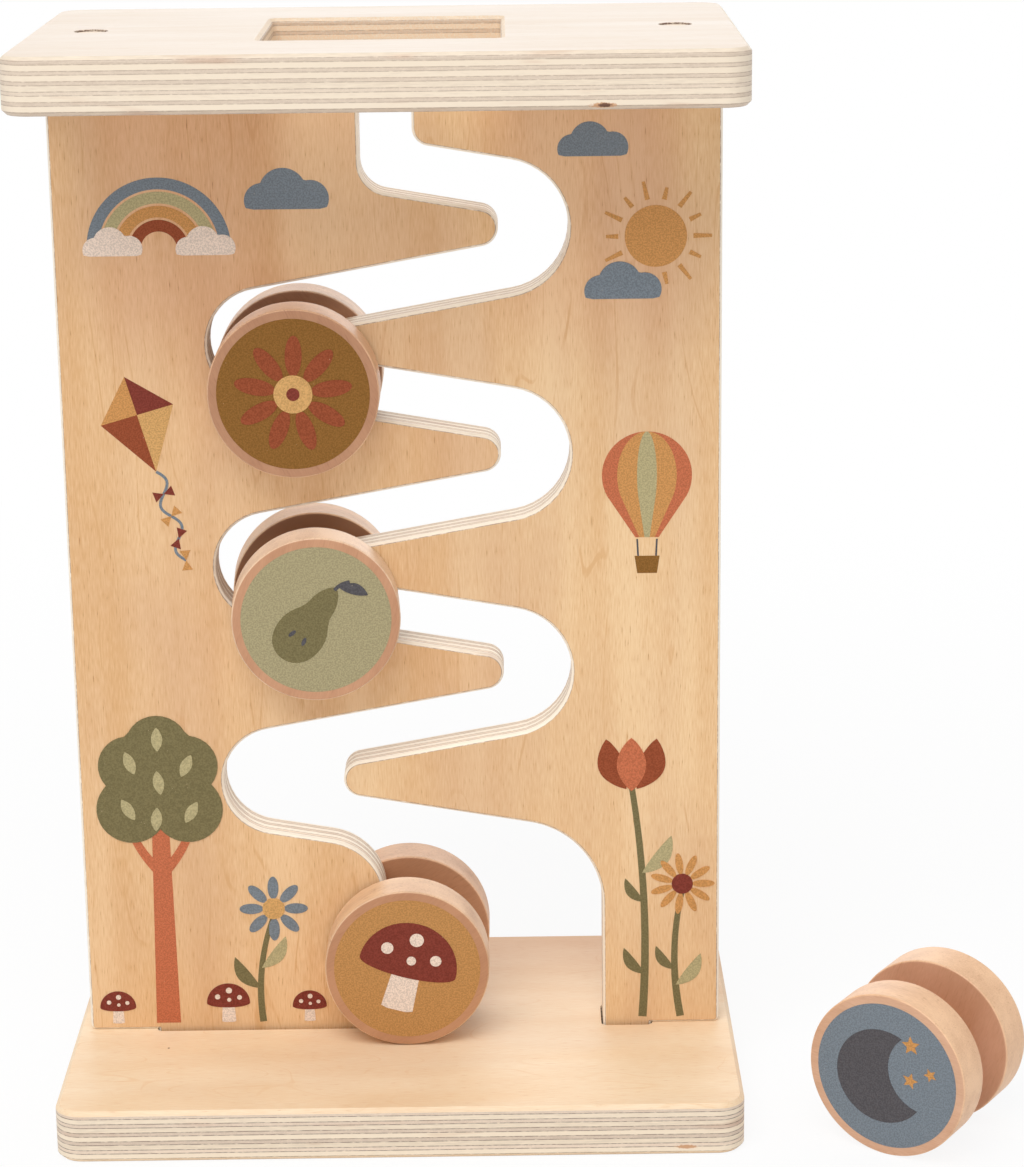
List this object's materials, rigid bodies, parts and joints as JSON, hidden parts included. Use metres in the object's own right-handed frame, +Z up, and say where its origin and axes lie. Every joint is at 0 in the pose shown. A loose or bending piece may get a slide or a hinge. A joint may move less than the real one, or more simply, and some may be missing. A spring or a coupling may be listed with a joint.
{
  "type": "wooden maze toy",
  "caption": "Free-standing plywood tower with a zigzag track cut through its upright; wooden spool rollers dropped in at the top run down it on their axles and come out at the foot.",
  "frame": {"origin": "middle of the base board's underside", "axes": "+Z up, +X to the right seen from the printed front, -Y out of the printed front"},
  "size_m": [0.2686, 0.1353, 0.3025],
  "materials": {
    "board_plywood": "pale birch plywood, sanded, clear matt lacquer",
    "panel_plywood": "warm birch plywood, sanded, clear matt lacquer, printed front",
    "roller_beech": "turned beech, sanded, clear matt lacquer, printed outer face",
    "axle_beech": "beech dowel, sanded",
    "plug_birch": "birch plug, sanded flat",
    "screw_steel": "zinc plated"
  },
  "bodies": {
    "tower": {"base_board": "board_plywood", "top_board": "board_plywood", "left_panel": "panel_plywood", "right_panel": "panel_plywood", "top_left_screw": "screw_steel", "top_right_screw": "screw_steel", "base_left_screw": "screw_steel", "base_right_screw": "screw_steel", "top_left_plug": "plug_birch", "top_right_plug": "plug_birch", "base_left_plug": "plug_birch", "base_right_plug": "plug_birch"},
    "upper_roller_axle": {"upper_axle": "axle_beech"},
    "upper_roller_discs": {"upper_front_disc": "roller_beech", "upper_rear_disc": "roller_beech"},
    "middle_roller_axle": {"middle_axle": "axle_beech"},
    "middle_roller_discs": {"middle_front_disc": "roller_beech", "middle_rear_disc": "roller_beech"},
    "lower_roller_axle": {"lower_axle": "axle_beech"},
    "lower_roller_discs": {"lower_front_disc": "roller_beech", "lower_rear_disc": "roller_beech"},
    "loose_roller_axle": {"loose_axle": "axle_beech"},
    "loose_roller_discs": {"loose_front_disc": "roller_beech", "loose_rear_disc": "roller_beech"}
  },
  "joints": [
    {"name": "upper_roll", "type": "slide", "parent": "tower", "child": "upper_roller_axle", "axis": [0.9848, 0, -0.1736], "range_m": [-0.0102, 0.0526]},
    {"name": "upper_spin", "type": "hinge", "parent": "upper_roller_axle", "child": "upper_roller_discs", "pos_m": [-0.0259, 0, 0.2063], "axis": [0, 1, 0], "range_deg": [-98, 503]},
    {"name": "middle_roll", "type": "slide", "parent": "tower", "child": "middle_roller_axle", "axis": [0.9848, 0, -0.1736], "range_m": [-0.0131, 0.0487]},
    {"name": "middle_spin", "type": "hinge", "parent": "middle_roller_axle", "child": "middle_roller_discs", "pos_m": [-0.0226, 0, 0.14252], "axis": [-0.0576, 0.9983, 0], "range_deg": [-126, 466]},
    {"name": "lower_roll", "type": "slide", "parent": "tower", "child": "lower_roller_axle", "axis": [1, 0, 0], "range_m": [0, 0.0498]},
    {"name": "lower_spin", "type": "hinge", "parent": "lower_roller_axle", "child": "lower_roller_discs", "pos_m": [0.0015, 0, 0.03865], "axis": [0, 1, 0], "range_deg": [0, 123]},
    {"name": "loose_roll", "type": "slide", "parent": "tower", "child": "loose_roller_axle", "axis": [0.8368, -0.5476, 0], "range_m": [-0.018, 0.08]},
    {"name": "loose_spin", "type": "hinge", "parent": "loose_roller_axle", "child": "loose_roller_discs", "pos_m": [0.1438, -0.0455, 0.02335], "axis": [0.5476, 0.8368, 0], "range_deg": [-45, 197]}
  ],
  "couplings": [
    {"joint": "upper_spin", "follows": "upper_roll", "rad_per_m": 166.67},
    {"joint": "middle_spin", "follows": "middle_roll", "rad_per_m": 166.67},
    {"joint": "lower_spin", "follows": "lower_roll", "rad_per_m": 42.827},
    {"joint": "loose_spin", "follows": "loose_roll", "rad_per_m": 42.827}
  ]
}
